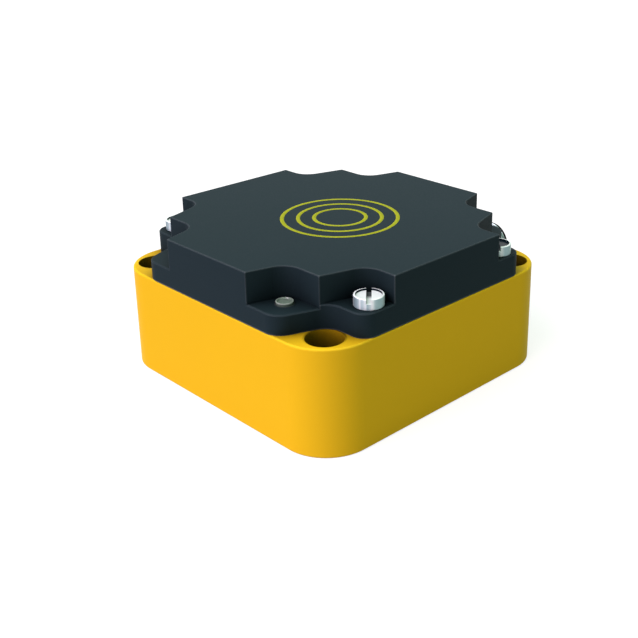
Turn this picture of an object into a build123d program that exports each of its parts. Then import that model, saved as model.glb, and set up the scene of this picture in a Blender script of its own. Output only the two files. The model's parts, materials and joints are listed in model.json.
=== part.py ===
"""Inductive proximity sensor: a square sensing head screwed onto a terminal base.

Millimetres, +Z up. The origin is the centre of the base's underside. The front corner,
nearest in a three-quarter view, is (+X, -Y), and the plug connector leaves on +Y.
"""
import os
from math import cos, hypot, pi, radians, sin, tan

from build123d import *

os.makedirs("parts", exist_ok=True)

# Housing heights and plan
base_side = 80.0
base_height = 26.8
base_corner_radius = 12.0
base_edge_round = 0.5
base_wall = 4.5
base_floor = 3.0
head_height = 12.7
head_edge_round = 0.2
pocket_edge_bevel = 0.25
head_face_gap = 0.05

# Mounting screws of the whole sensor, M5
mount_inset = 7.5
mount_bore_radius = 2.65
mount_counterbore_radius = 4.5
mount_seat_thickness = 6.8
mount_column_radius = 9.5

# Flange of the head: lobes beside each mounting hole
relief_gap = 0.25
relief_slant = 20.0
lobe_radius_front = 4.7
lobe_radius_side = 3.6
lamp_floor_rise = 4.9
screw_floor_step = 1.0

# Pockets cut into the upper block of the head, measured from the mounting hole's axis
pocket_reach_front = 17.5
pocket_reach_side = 14.2
cusp_inset_x = 4.2
cusp_inset_y = 2.45
pocket_slant = 16.5
pocket_radius = 5.0

# Head screws, M4 slotted cheese head, and their inserts
screw_inset = 4.0
screw_to_mount = 10.1
screw_radius = 2.0
screw_length = 14.0
screw_point_bevel = 0.5
screw_tip_room = 3.5
screw_head_radius = 3.5
screw_head_height = 2.6
screw_head_round = 0.5
screw_slot_width = 1.2
screw_slot_depth = 1.1
screw_slot_angles = (135.0, 134.0, 118.0, 138.0)
slot_overrun = 1.0
screw_hole_gap = 0.25
thread_gap = 0.05
insert_radius = 2.8
insert_length = 8.0
insert_sink = 0.2
insert_rim_height = 0.8
insert_rim_radius = 3.1
boss_radius = 7.0
chamber_round = 1.5

# Gasket between base and head
gasket_inset = 0.9
gasket_width = 1.8
gasket_depth = 1.2

# Hollow of the head
pocket_wall = 4.0
sensing_wall = 2.2
flange_wall = 2.0
potting_gap = 0.05
potting_recess = 0.3

# Ferrite core, bobbin and coil
core_side_gap = 0.5
core_clearance = 2.0
core_back = 2.0
core_rim_width = 3.0
core_post_radius = 9.0
core_bore_radius = 2.5
core_gap = 0.1
bobbin_wall = 0.8
bobbin_gap = 0.2
coil_gap = 0.1

# Circuit board and what it carries
board_thickness = 1.6
board_lift = 0.8
board_gap = 0.5
chip_sizes = ((10.0, 4.0, 1.5), (5.0, 4.0, 1.5), (3.2, 2.6, 1.2), (3.2, 1.6, 0.6), (3.2, 1.6, 0.6))
chip_places = ((-9.0, 6.0), (8.0, 7.0), (15.0, -4.0), (-2.0, 14.0), (4.0, 14.0))

# Status lamp
lamp_to_mount = 12.0
lamp_inset = 6.5
lamp_radius = 2.08
lamp_proud = 0.7
lamp_seat = 0.9
lamp_rim = 0.35
lamp_dish = 0.25
lamp_dish_slant = 45.0
lamp_edge_round = 0.17
lamp_stem_radius = 1.3
lamp_gap = 0.05
led_length = 1.8
led_width = 1.2
led_height = 0.7

# Terminal block and its plug contacts
pole_pitch = 10.0
pole_count = 4
block_end = 1.2
block_ear_width = 7.8
block_ear_depth = 9.0
block_back = -14.0
block_tall_depth = 9.0
block_front = 10.0
block_low_height = 10.0
block_tall_height = 16.0
block_round = 0.8
pocket_floor = 3.0
socket_y = -9.5
socket_radius = 1.7
socket_bore_radius = 0.8
socket_gap = 0.1
strip_width = 2.8
strip_thickness = 0.8
clamp_width = 7.0
clamp_depth = 9.6
clamp_height = 6.0
clamp_gap = 0.15
clamp_back = -2.6
clamp_wire_radius = 1.3
clamp_wire_height = 2.2
clamp_screw_y = 2.0
clamp_screw_radius = 1.45
clamp_screw_head_radius = 2.6
clamp_screw_head_height = 1.6
clamp_screw_slot_width = 0.8
clamp_screw_slot_depth = 0.8
contact_pin_radius = 0.75
contact_pin_depth = 7.0
contact_pin_top = 0.8
contact_pin_round = 0.35
block_screw_inset = 4.5
block_screw_radius = 1.4
block_screw_head_radius = 2.6
block_screw_head_height = 1.6
block_boss_height = 1.0
block_boss_radius = 3.2
block_seat = 3.0
block_screw_room = 1.5

# Plug connector on the +Y face, M12 x 1 with an M16 x 1.5 stem
stem_radius = 8.0
stem_length = 10.5
stem_hole_gap = 0.1
seal_thickness = 1.2
seal_radius = 9.6
hex_sides = 6
hex_wall = 2.0
hex_thickness = 6.0
collar_radius = 7.0
collar_length = 7.5
plug_thread_radius = 6.0
plug_thread_length = 12.0
plug_chamfer = 0.5
plug_bore_radius = 4.4
plug_bore_depth = 9.5
carrier_gap = 0.05
carrier_key_width = 1.2
carrier_key_height = 0.8
carrier_back = 1.5
contact_circle = 5.5
contact_radius = 0.5
contact_length = 7.5
contact_round = 0.25
contact_gap = 0.02
cup_radius = 0.95
cup_bore_radius = 0.7
cup_length = 3.0
locknut_thickness = 4.0

# Inner leads from the connector to the clamps
lead_radius = 0.65
lead_straight = 13.5
lead_bend = 5.0
lead_into_clamp = 1.0
lead_into_cup = 2.0
lead_lift = 0.05

# Derived places
half_side = base_side / 2
head_half = half_side - head_face_gap
mount_half = half_side - mount_inset
mount_pitch = 2 * mount_half
chamber_half = half_side - base_wall
head_top = base_height + head_height
lamp_floor = base_height + lamp_floor_rise
screw_floor = lamp_floor + screw_floor_step
relief_radius = mount_counterbore_radius + relief_gap
pocket_start_front = mount_half - pocket_reach_front
pocket_start_side = mount_half - pocket_reach_side
cusp_x = mount_half - cusp_inset_x
cusp_y = mount_half - cusp_inset_y
pocket_corner_front = pocket_start_front + (head_half - cusp_y) * tan(radians(pocket_slant))
pocket_corner_side = cusp_x + (cusp_y - pocket_start_side) * tan(radians(pocket_slant))
cavity_radius = hypot(pocket_corner_front, cusp_y) - pocket_wall
screw_x = half_side - screw_inset
screw_y = mount_half - screw_to_mount
screw_places = [(screw_x, -screw_y), (screw_x, screw_y), (-screw_x, screw_y), (-screw_x, -screw_y)]
pole_places = [(index - (pole_count - 1) / 2) * pole_pitch for index in range(pole_count)]
cavity_top = head_top - sensing_wall
lower_cavity_top = lamp_floor - flange_wall
board_bottom = base_height + board_lift
board_top = board_bottom + board_thickness
core_radius = cavity_radius - core_side_gap
core_bottom = board_top + core_clearance
core_height = cavity_top - core_gap - core_bottom
lamp_x = mount_half - lamp_to_mount
lamp_y = lamp_inset - half_side
block_bottom = base_floor + block_boss_height
block_width = (pole_count - 1) * pole_pitch + clamp_width + 2 * (clamp_gap + block_end)
block_full_width = block_width + 2 * block_ear_width
block_screw_x = block_full_width / 2 - block_screw_inset
block_screw_y = block_front - block_ear_depth / 2
block_screw_places = [(-block_screw_x, block_screw_y), (block_screw_x, block_screw_y)]
hex_circumradius = (stem_radius + hex_wall) / cos(pi / hex_sides)
connector_height = (base_floor + base_height) / 2
connector_plane = Plane(origin=(0, half_side, connector_height), x_dir=(1, 0, 0), z_dir=(0, 1, 0))
hex_start = seal_thickness
collar_start = hex_start + hex_thickness
thread_start = collar_start + collar_length
connector_end = thread_start + plug_thread_length
carrier_face = connector_end - plug_bore_depth
carrier_end = -(stem_length + carrier_back)
contact_places = [
    (side * contact_circle / 2 * cos(radians(45)), drop * contact_circle / 2 * cos(radians(45)))
    for side, drop in ((-1, 1), (-1, -1), (1, -1), (1, 1))
]


def around(corner, radii):
    """Repeat one corner's points and radii round the four corners of a symmetric outline."""
    points = []
    sizes = []
    for side_x, side_y in ((1, 1), (-1, 1), (-1, -1), (1, -1)):
        forward = side_x * side_y > 0
        order = range(len(corner)) if forward else reversed(range(len(corner)))
        for index in order:
            points.append((side_x * corner[index][0], side_y * corner[index][1]))
            sizes.append(radii[index])
    return points, sizes


def outline_sketch(corner, radii):
    """Closed outline through a corner's points, each rounded with its own radius."""
    points, sizes = around(corner, radii)
    with BuildSketch() as outline:
        with BuildLine():
            FilletPolyline(*points, radius=sizes, close=True)
        make_face()
    return outline.sketch


def chamber_sketch(grow):
    """Inside outline of the base, which passes round the columns and the screw bosses."""
    with BuildSketch() as chamber:
        Rectangle(2 * chamber_half, 2 * chamber_half)
        with GridLocations(mount_pitch, mount_pitch, 2, 2):
            Circle(mount_column_radius, mode=Mode.SUBTRACT)
        with Locations(*screw_places):
            Circle(boss_radius, mode=Mode.SUBTRACT)
        fillet(chamber.vertices(), chamber_round)
        if grow != 0:
            offset(amount=grow, kind=Kind.ARC, mode=Mode.REPLACE)
    return chamber.sketch


def export(piece, name):
    """Label a finished piece and write it."""
    piece.part.label = name
    export_step(piece.part, f"parts/{name}.step")


# Plan outlines of the head
relief_line = mount_half - relief_radius
flange_sketch = outline_sketch(
    [
        (head_half, relief_line),
        (
            mount_half
            - relief_radius / cos(radians(relief_slant))
            + relief_radius * tan(radians(relief_slant)),
            relief_line,
        ),
        (
            mount_half
            - relief_radius / cos(radians(relief_slant))
            - (head_half - mount_half) * tan(radians(relief_slant)),
            head_half,
        ),
    ],
    [lobe_radius_side, relief_radius, lobe_radius_front],
)
block_sketch = outline_sketch(
    [
        (head_half, pocket_start_side),
        (pocket_corner_side, pocket_start_side),
        (cusp_x, cusp_y),
        (pocket_corner_front, cusp_y),
        (pocket_start_front, head_half),
    ],
    [head_edge_round, pocket_radius, head_edge_round, pocket_radius, head_edge_round],
)

# Terminal base: one moulding with columns for the mounting screws and bosses for the inserts
with BuildPart() as terminal_base:
    with BuildSketch():
        RectangleRounded(base_side, base_side, base_corner_radius)
    extrude(amount=base_height)
    fillet(terminal_base.faces().filter_by(Axis.Z).edges(), base_edge_round)
    with BuildSketch(Plane.XY.offset(base_floor)):
        add(chamber_sketch(0))
    extrude(amount=base_height, mode=Mode.SUBTRACT)
    with BuildSketch(Plane.XY.offset(base_height - gasket_depth)):
        add(chamber_sketch(gasket_inset + gasket_width))
        add(chamber_sketch(gasket_inset), mode=Mode.SUBTRACT)
    extrude(amount=gasket_depth, mode=Mode.SUBTRACT)
    with Locations(Plane.XY.offset(base_height)):
        with GridLocations(mount_pitch, mount_pitch, 2, 2):
            CounterBoreHole(
                radius=mount_bore_radius,
                counter_bore_radius=mount_counterbore_radius,
                counter_bore_depth=base_height - mount_seat_thickness,
                depth=base_height,
            )
    with Locations(*[(x, y, base_height) for x, y in screw_places]):
        CounterBoreHole(
            radius=insert_radius,
            counter_bore_radius=insert_rim_radius,
            counter_bore_depth=insert_sink + insert_rim_height,
            depth=insert_sink + insert_length,
        )
        Hole(radius=screw_radius + screw_hole_gap, depth=insert_sink + insert_length + screw_tip_room)
    with BuildSketch(connector_plane):
        Circle(stem_radius + stem_hole_gap)
    extrude(amount=-base_wall, mode=Mode.SUBTRACT)
    with BuildSketch(Plane.XY.offset(base_floor)):
        with Locations(*block_screw_places, (0, block_back + block_tall_depth)):
            Circle(block_boss_radius)
    extrude(amount=block_boss_height)
    with Locations(*[(x, y, block_bottom) for x, y in block_screw_places]):
        Hole(radius=block_screw_radius + thread_gap, depth=block_boss_height + block_screw_room)
export(terminal_base, "terminal_base")

# Sensor head: flange with two pocket levels under an upper block, hollow from below
with BuildPart() as sensor_head:
    with BuildSketch(Plane.XY.offset(base_height)):
        add(flange_sketch)
    extrude(amount=lamp_floor - base_height)
    chamfer(sensor_head.edges().group_by(Axis.Z)[-1], pocket_edge_bevel)
    with BuildSketch(Plane.XY.offset(base_height)):
        add(flange_sketch)
        Rectangle(base_side, 2 * cusp_y, mode=Mode.INTERSECT)
    extrude(amount=screw_floor - base_height)
    chamfer(sensor_head.edges().group_by(Axis.Z)[-1], pocket_edge_bevel)
    with BuildSketch(Plane.XY.offset(base_height)):
        add(block_sketch)
    extrude(amount=head_top - base_height)
    fillet(sensor_head.edges().group_by(Axis.Z)[-1], head_edge_round)
    with BuildSketch(Plane.XY.offset(base_height)):
        add(chamber_sketch(0))
    extrude(amount=lower_cavity_top - base_height, mode=Mode.SUBTRACT)
    with BuildSketch(Plane.XY.offset(base_height)):
        Circle(cavity_radius)
    extrude(amount=cavity_top - base_height, mode=Mode.SUBTRACT)
    with Locations(*[(x, y, screw_floor) for x, y in screw_places]):
        Hole(radius=screw_radius + screw_hole_gap, depth=screw_floor - base_height)
    with Locations((lamp_x, lamp_y, lamp_floor)):
        CounterBoreHole(
            radius=lamp_stem_radius + lamp_gap,
            counter_bore_radius=lamp_radius + lamp_gap,
            counter_bore_depth=lamp_seat,
            depth=flange_wall,
        )
export(sensor_head, "sensor_head")

# Gasket in the groove of the base
with BuildPart() as head_gasket:
    with BuildSketch(Plane.XY.offset(base_height - gasket_depth)):
        add(chamber_sketch(gasket_inset + gasket_width))
        add(chamber_sketch(gasket_inset), mode=Mode.SUBTRACT)
    extrude(amount=gasket_depth)
export(head_gasket, "head_gasket")


def head_screw(place, slot_angle, name):
    """Slotted cheese-head screw seated on the flange."""
    with BuildPart() as screw:
        with BuildSketch(Plane.XY.offset(screw_floor - screw_length)):
            with Locations(place):
                Circle(screw_radius)
        extrude(amount=screw_length)
        chamfer(screw.faces().sort_by(Axis.Z)[0].edges(), screw_point_bevel)
        with BuildSketch(Plane.XZ.offset(-place[1])) as profile:
            with Locations((place[0], screw_floor)):
                Rectangle(screw_head_radius, screw_head_height, align=(Align.MIN, Align.MIN))
            fillet(profile.vertices().group_by(Axis.X)[-1].sort_by(Axis.Y)[-1], screw_head_round)
        revolve(axis=Axis((*place, 0), (0, 0, 1)))
        slot_plane = Plane(
            origin=(*place, screw_floor + screw_head_height),
            x_dir=(cos(radians(slot_angle)), sin(radians(slot_angle)), 0),
            z_dir=(0, 0, 1),
        )
        with BuildSketch(slot_plane):
            Rectangle(2 * screw_head_radius + slot_overrun, screw_slot_width)
        extrude(amount=-screw_slot_depth, mode=Mode.SUBTRACT)
    export(screw, name)


def threaded_insert(place, name):
    """Brass insert with a rim, flush in its boss of the base."""
    insert_top = base_height - insert_sink
    with BuildPart() as insert:
        with BuildSketch(Plane.XY.offset(insert_top - insert_length)):
            with Locations(place):
                Circle(insert_radius)
        extrude(amount=insert_length)
        with BuildSketch(Plane.XY.offset(insert_top - insert_rim_height)):
            with Locations(place):
                Circle(insert_rim_radius)
        extrude(amount=insert_rim_height)
        with BuildSketch(Plane.XY.offset(insert_top)):
            with Locations(place):
                Circle(screw_radius + thread_gap)
        extrude(amount=-insert_length, mode=Mode.SUBTRACT)
    export(insert, name)


for number, (place, angle) in enumerate(zip(screw_places, screw_slot_angles), start=1):
    head_screw(place, angle, f"head_screw_{number}")
    threaded_insert(place, f"threaded_insert_{number}")

# Ferrite pot core, open towards the sensing face
with BuildPart() as ferrite_core:
    with BuildSketch(Plane.XY.offset(core_bottom)):
        Circle(core_radius)
        Circle(core_bore_radius, mode=Mode.SUBTRACT)
    extrude(amount=core_height)
    with BuildSketch(Plane.XY.offset(core_bottom + core_back)):
        Circle(core_radius - core_rim_width)
        Circle(core_post_radius, mode=Mode.SUBTRACT)
    extrude(amount=core_height, mode=Mode.SUBTRACT)
export(ferrite_core, "ferrite_core")

# Bobbin and winding in the core's channel
bobbin_bottom = core_bottom + core_back
bobbin_top = core_bottom + core_height
bobbin_inner = core_post_radius + bobbin_gap
bobbin_outer = core_radius - core_rim_width - bobbin_gap
with BuildPart() as coil_bobbin:
    with BuildSketch(Plane.XY.offset(bobbin_bottom)):
        Circle(bobbin_outer)
        Circle(bobbin_inner, mode=Mode.SUBTRACT)
    extrude(amount=bobbin_wall)
    with BuildSketch(Plane.XY.offset(bobbin_top - bobbin_wall)):
        Circle(bobbin_outer)
        Circle(bobbin_inner, mode=Mode.SUBTRACT)
    extrude(amount=bobbin_wall)
    with BuildSketch(Plane.XY.offset(bobbin_bottom)):
        Circle(bobbin_inner + bobbin_wall)
        Circle(bobbin_inner, mode=Mode.SUBTRACT)
    extrude(amount=bobbin_top - bobbin_bottom)
export(coil_bobbin, "coil_bobbin")

with BuildPart() as coil_winding:
    with BuildSketch(Plane.XY.offset(bobbin_bottom + bobbin_wall + coil_gap)):
        Circle(bobbin_outer - coil_gap)
        Circle(bobbin_inner + bobbin_wall + coil_gap, mode=Mode.SUBTRACT)
    extrude(amount=bobbin_top - bobbin_bottom - 2 * (bobbin_wall + coil_gap))
export(coil_winding, "coil_winding")

# Circuit board, its chips and the status diode
with BuildPart() as circuit_board:
    with BuildSketch(Plane.XY.offset(board_bottom)):
        add(chamber_sketch(-board_gap))
        with Locations(*[(x, socket_y) for x in pole_places]):
            Circle(contact_pin_radius, mode=Mode.SUBTRACT)
    extrude(amount=board_thickness)
export(circuit_board, "circuit_board")

with BuildPart() as board_components:
    for (length, width, height), place in zip(chip_sizes, chip_places):
        with BuildSketch(Plane.XY.offset(board_top)):
            with Locations(place):
                Rectangle(length, width)
        extrude(amount=height)
export(board_components, "board_components")

with BuildPart() as status_led:
    with BuildSketch(Plane.XY.offset(board_top)):
        with Locations((lamp_x, lamp_y)):
            Rectangle(led_length, led_width)
    extrude(amount=led_height)
export(status_led, "status_led")

# Status lamp: clear light guide with a dished cap proud of its pocket
lamp_bottom = board_top + led_height + potting_gap
with BuildPart() as status_lens:
    with BuildSketch(Plane.XY.offset(lamp_bottom)):
        with Locations((lamp_x, lamp_y)):
            Circle(lamp_stem_radius)
    extrude(amount=lamp_floor - lamp_seat - lamp_bottom)
    with BuildSketch(Plane.XY.offset(lamp_floor - lamp_seat)):
        with Locations((lamp_x, lamp_y)):
            Circle(lamp_radius)
    extrude(amount=lamp_seat + lamp_proud)
    fillet(status_lens.faces().sort_by(Axis.Z)[-1].edges(), lamp_edge_round)
    with BuildSketch(Plane.XY.offset(lamp_floor + lamp_proud)):
        with Locations((lamp_x, lamp_y)):
            Circle(lamp_radius - lamp_rim)
    extrude(amount=-lamp_dish, taper=lamp_dish_slant, mode=Mode.SUBTRACT)
export(status_lens, "status_lens")

# Plug pins of the head, soldered in the board
pin_bottom = block_bottom + block_tall_height - contact_pin_depth
for number, x in enumerate(pole_places, start=1):
    with BuildPart() as contact_pin:
        with BuildSketch(Plane.XY.offset(pin_bottom)):
            with Locations((x, socket_y)):
                Circle(contact_pin_radius)
        extrude(amount=board_top + contact_pin_top - pin_bottom)
        fillet(contact_pin.faces().sort_by(Axis.Z)[0].edges(), contact_pin_round)
    export(contact_pin, f"contact_pin_{number}")

# Potting that fills the head under the core
with BuildPart() as potting:
    with BuildSketch(Plane.XY.offset(base_height + potting_recess)):
        add(chamber_sketch(-potting_gap))
    extrude(amount=lower_cavity_top - base_height - potting_recess)
    with BuildSketch(Plane.XY.offset(base_height + potting_recess)):
        Circle(cavity_radius - potting_gap)
    extrude(amount=core_bottom - base_height - potting_recess)
    add(circuit_board.part, mode=Mode.SUBTRACT)
    with BuildSketch(Plane.XY.offset(base_height)):
        with Locations(*[(x, socket_y) for x in pole_places]):
            Circle(contact_pin_radius)
    extrude(amount=board_top + contact_pin_top - base_height, mode=Mode.SUBTRACT)
    add(board_components.part, mode=Mode.SUBTRACT)
    with BuildSketch(Plane.XY.offset(board_top)):
        with Locations((lamp_x, lamp_y)):
            Circle(lamp_stem_radius + lamp_gap)
    extrude(amount=core_bottom - board_top, mode=Mode.SUBTRACT)
export(potting, "potting")

# Terminal block: tall back row for the sockets, low front row of clamp pockets, ears for its screws
clamp_bottom = block_bottom + pocket_floor + strip_thickness
clamp_pocket_width = clamp_width + 2 * clamp_gap
with BuildPart() as terminal_block:
    with BuildSketch(Plane.XY.offset(block_bottom)):
        with Locations((0, (block_back + block_front) / 2)):
            Rectangle(block_width, block_front - block_back)
        with Locations((0, block_screw_y)):
            Rectangle(block_full_width, block_ear_depth)
    extrude(amount=block_low_height)
    with BuildSketch(Plane.XY.offset(block_bottom)):
        with Locations((0, block_back + block_tall_depth / 2)):
            Rectangle(block_width, block_tall_depth)
    extrude(amount=block_tall_height)
    fillet(terminal_block.edges().filter_by(Axis.Z), block_round)
    with BuildSketch(Plane.XY.offset(block_bottom + pocket_floor)):
        with Locations(*[(x, (clamp_back - clamp_gap + block_front) / 2) for x in pole_places]):
            Rectangle(clamp_pocket_width, block_front - clamp_back + clamp_gap)
    extrude(amount=block_low_height, mode=Mode.SUBTRACT)
    with BuildSketch(Plane.XY.offset(block_bottom + pocket_floor)):
        with Locations(*[(x, socket_y) for x in pole_places]):
            Circle(socket_radius + socket_gap)
    extrude(amount=block_tall_height, mode=Mode.SUBTRACT)
    with BuildSketch(Plane.XY.offset(block_bottom + pocket_floor)):
        with Locations(*[(x, (socket_y + clamp_back) / 2) for x in pole_places]):
            Rectangle(strip_width + 2 * socket_gap, clamp_back - socket_y)
    extrude(amount=strip_thickness + socket_gap, mode=Mode.SUBTRACT)
    with Locations(*[(x, y, block_bottom + block_low_height) for x, y in block_screw_places]):
        CounterBoreHole(
            radius=block_screw_radius + screw_hole_gap,
            counter_bore_radius=block_screw_head_radius + screw_hole_gap,
            counter_bore_depth=block_low_height - block_seat,
            depth=block_low_height,
        )
export(terminal_block, "terminal_block")

for number, x in enumerate(pole_places, start=1):
    with BuildPart() as contact_socket:
        with BuildSketch(Plane.XY.offset(block_bottom + pocket_floor)):
            with Locations((x, socket_y)):
                Circle(socket_radius)
        extrude(amount=block_tall_height - pocket_floor - socket_gap)
        with BuildSketch(Plane.XY.offset(block_bottom + pocket_floor)):
            with Locations((x, (socket_y + clamp_back + clamp_depth) / 2)):
                Rectangle(strip_width, clamp_back + clamp_depth - socket_y)
        extrude(amount=strip_thickness)
        with BuildSketch(Plane.XY.offset(block_bottom + block_tall_height)):
            with Locations((x, socket_y)):
                Circle(socket_bore_radius)
        extrude(amount=pocket_floor + strip_thickness - block_tall_height, mode=Mode.SUBTRACT)
    export(contact_socket, f"contact_socket_{number}")

    with BuildPart() as terminal_clamp:
        with BuildSketch(Plane.XY.offset(clamp_bottom)):
            with Locations((x, clamp_back + clamp_depth / 2)):
                Rectangle(clamp_width, clamp_depth)
        extrude(amount=clamp_height)
        with BuildSketch(Plane.XZ.offset(-clamp_back)):
            with Locations((x, clamp_bottom + clamp_wire_height)):
                Circle(clamp_wire_radius)
        extrude(amount=-clamp_depth, mode=Mode.SUBTRACT)
        with BuildSketch(Plane.XY.offset(clamp_bottom + clamp_wire_height)):
            with Locations((x, clamp_screw_y)):
                Circle(clamp_screw_radius + thread_gap)
        extrude(amount=clamp_height, mode=Mode.SUBTRACT)
    export(terminal_clamp, f"terminal_clamp_{number}")

    lead_top = clamp_bottom + clamp_wire_height - clamp_wire_radius + 2 * (lead_radius + lead_lift)
    with BuildPart() as terminal_screw:
        with BuildSketch(Plane.XY.offset(lead_top)):
            with Locations((x, clamp_screw_y)):
                Circle(clamp_screw_radius)
        extrude(amount=clamp_bottom + clamp_height - lead_top)
        with BuildSketch(Plane.XY.offset(clamp_bottom + clamp_height)):
            with Locations((x, clamp_screw_y)):
                Circle(clamp_screw_head_radius)
        extrude(amount=clamp_screw_head_height)
        with BuildSketch(Plane.XY.offset(clamp_bottom + clamp_height + clamp_screw_head_height)):
            with Locations((x, clamp_screw_y)):
                Rectangle(2 * clamp_screw_head_radius + slot_overrun, clamp_screw_slot_width)
        extrude(amount=-clamp_screw_slot_depth, mode=Mode.SUBTRACT)
    export(terminal_screw, f"terminal_screw_{number}")

for number, place in enumerate(block_screw_places, start=1):
    with BuildPart() as block_screw:
        with BuildSketch(Plane.XY.offset(block_bottom - block_boss_height)):
            with Locations(place):
                Circle(block_screw_radius)
        extrude(amount=block_boss_height + block_seat)
        with BuildSketch(Plane.XY.offset(block_bottom + block_seat)):
            with Locations(place):
                Circle(block_screw_head_radius)
        extrude(amount=block_screw_head_height)
        with BuildSketch(Plane.XY.offset(block_bottom + block_seat + block_screw_head_height)):
            with Locations(place):
                Rectangle(2 * block_screw_head_radius + slot_overrun, clamp_screw_slot_width)
        extrude(amount=-clamp_screw_slot_depth, mode=Mode.SUBTRACT)
    export(block_screw, f"block_screw_{number}")

# Connector shell: stem through the wall, hexagon, collar and plug thread
with BuildPart() as connector_shell:
    with BuildSketch(connector_plane.offset(-stem_length)):
        Circle(stem_radius)
    extrude(amount=stem_length + hex_start)
    with BuildSketch(connector_plane.offset(hex_start)):
        RegularPolygon(hex_circumradius, hex_sides)
    extrude(amount=hex_thickness)
    with BuildSketch(connector_plane.offset(collar_start)):
        Circle(collar_radius)
    extrude(amount=collar_length)
    with BuildSketch(connector_plane.offset(thread_start)):
        Circle(plug_thread_radius)
    extrude(amount=plug_thread_length)
    chamfer(connector_shell.faces().sort_by(Axis.Y)[-1].edges(), plug_chamfer)
    with BuildSketch(connector_plane.offset(-stem_length)):
        Circle(plug_bore_radius)
    extrude(amount=stem_length + connector_end, mode=Mode.SUBTRACT)
export(connector_shell, "connector_shell")

with BuildPart() as connector_seal:
    with BuildSketch(connector_plane):
        Circle(seal_radius)
        Circle(stem_radius + stem_hole_gap, mode=Mode.SUBTRACT)
    extrude(amount=seal_thickness)
export(connector_seal, "connector_seal")

with BuildPart() as connector_locknut:
    with BuildSketch(connector_plane.offset(-base_wall - locknut_thickness)):
        RegularPolygon(hex_circumradius, hex_sides)
        Circle(stem_radius + thread_gap, mode=Mode.SUBTRACT)
    extrude(amount=locknut_thickness)
export(connector_locknut, "connector_locknut")

with BuildPart() as contact_carrier:
    with BuildSketch(connector_plane.offset(carrier_end)):
        Circle(plug_bore_radius - carrier_gap)
        with Locations(*contact_places):
            Circle(contact_radius + contact_gap, mode=Mode.SUBTRACT)
    extrude(amount=carrier_face - carrier_end)
    with BuildSketch(connector_plane.offset(carrier_face)):
        with Locations((0, plug_bore_radius - carrier_gap - carrier_key_height)):
            Rectangle(carrier_key_width, carrier_key_height, align=(Align.CENTER, Align.MIN))
        Circle(plug_bore_radius - carrier_gap, mode=Mode.INTERSECT)
    extrude(amount=contact_length)
export(contact_carrier, "contact_carrier")

for number, place in enumerate(contact_places, start=1):
    with BuildPart() as connector_pin:
        with BuildSketch(connector_plane.offset(carrier_end)):
            with Locations(place):
                Circle(contact_radius)
        extrude(amount=carrier_face + contact_length - carrier_end)
        fillet(connector_pin.faces().sort_by(Axis.Y)[-1].edges(), contact_round)
        with BuildSketch(connector_plane.offset(carrier_end - cup_length)):
            with Locations(place):
                Circle(cup_radius)
        extrude(amount=cup_length)
        with BuildSketch(connector_plane.offset(carrier_end - cup_length)):
            with Locations(place):
                Circle(cup_bore_radius)
        extrude(amount=lead_into_cup, mode=Mode.SUBTRACT)
    export(connector_pin, f"connector_pin_{number}")

# Leads from the solder cups to the clamps, outer poles to the lower contacts
lead_height = clamp_bottom + clamp_wire_height - clamp_wire_radius + lead_radius + lead_lift
lead_end_y = half_side + carrier_end - cup_length + lead_into_cup
for number, (x, (contact_x, contact_drop)) in enumerate(zip(pole_places, contact_places), start=1):
    start = (x, lead_into_clamp, lead_height)
    out = (x, lead_straight, lead_height)
    turn = (contact_x, lead_end_y - lead_bend, connector_height - contact_drop)
    end = (contact_x, lead_end_y, connector_height - contact_drop)
    with BuildPart() as lead_wire:
        with BuildLine() as route:
            FilletPolyline(start, out, turn, end, radius=lead_bend)
        with BuildSketch(Plane(origin=start, z_dir=(0, 1, 0))):
            Circle(lead_radius)
        sweep(path=route.wires()[0])
    route_length = route.wires()[0].length
    section = lead_wire.part.volume / route_length
    print(f"lead {number}: length {route_length:.2f}, section {section:.4f}")
    export(lead_wire, f"lead_wire_{number}")
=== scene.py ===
"""Looks of a square inductive proximity sensor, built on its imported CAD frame.

Everything lies in the row's frame: +Z out of the sensing face, +Y along the plug connector, and
the status lamp in the +X, -Y corner. Stations and all values whose names end in _mm are in
millimetres, all other lengths are in metres.
"""

import json
import logging
import math
from dataclasses import dataclass, field, replace
from enum import Enum
from functools import cache
from typing import Any, Callable, Iterable, Sequence

import bmesh
import bpy
from mathutils import Matrix, Vector

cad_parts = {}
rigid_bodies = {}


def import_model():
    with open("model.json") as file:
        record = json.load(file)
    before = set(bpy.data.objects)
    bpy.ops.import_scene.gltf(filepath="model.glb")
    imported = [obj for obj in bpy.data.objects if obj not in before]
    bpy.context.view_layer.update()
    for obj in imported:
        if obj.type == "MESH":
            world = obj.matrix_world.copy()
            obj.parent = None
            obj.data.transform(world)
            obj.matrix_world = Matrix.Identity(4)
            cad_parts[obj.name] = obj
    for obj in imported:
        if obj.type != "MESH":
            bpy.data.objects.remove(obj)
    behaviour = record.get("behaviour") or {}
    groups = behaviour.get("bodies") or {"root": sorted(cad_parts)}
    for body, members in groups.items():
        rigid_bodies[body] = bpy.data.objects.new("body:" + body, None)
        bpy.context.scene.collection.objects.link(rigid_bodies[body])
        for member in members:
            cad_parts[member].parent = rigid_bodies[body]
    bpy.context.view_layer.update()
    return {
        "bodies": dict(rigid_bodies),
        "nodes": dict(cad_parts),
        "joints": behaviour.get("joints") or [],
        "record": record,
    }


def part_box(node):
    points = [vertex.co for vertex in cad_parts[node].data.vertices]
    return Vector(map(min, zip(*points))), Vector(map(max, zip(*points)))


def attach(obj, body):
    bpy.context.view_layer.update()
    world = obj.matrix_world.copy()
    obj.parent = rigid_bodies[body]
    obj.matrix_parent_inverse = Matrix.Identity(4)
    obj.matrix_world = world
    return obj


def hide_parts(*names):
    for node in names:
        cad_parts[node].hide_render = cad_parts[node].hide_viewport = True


MM = 0.001
ROOT = "root"
NOISE_MEAN = 0.5
CONTACT_SAMPLES = 12
MIX_FIRST, MIX_SECOND, MIX_RESULT = 6, 7, 2
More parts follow.
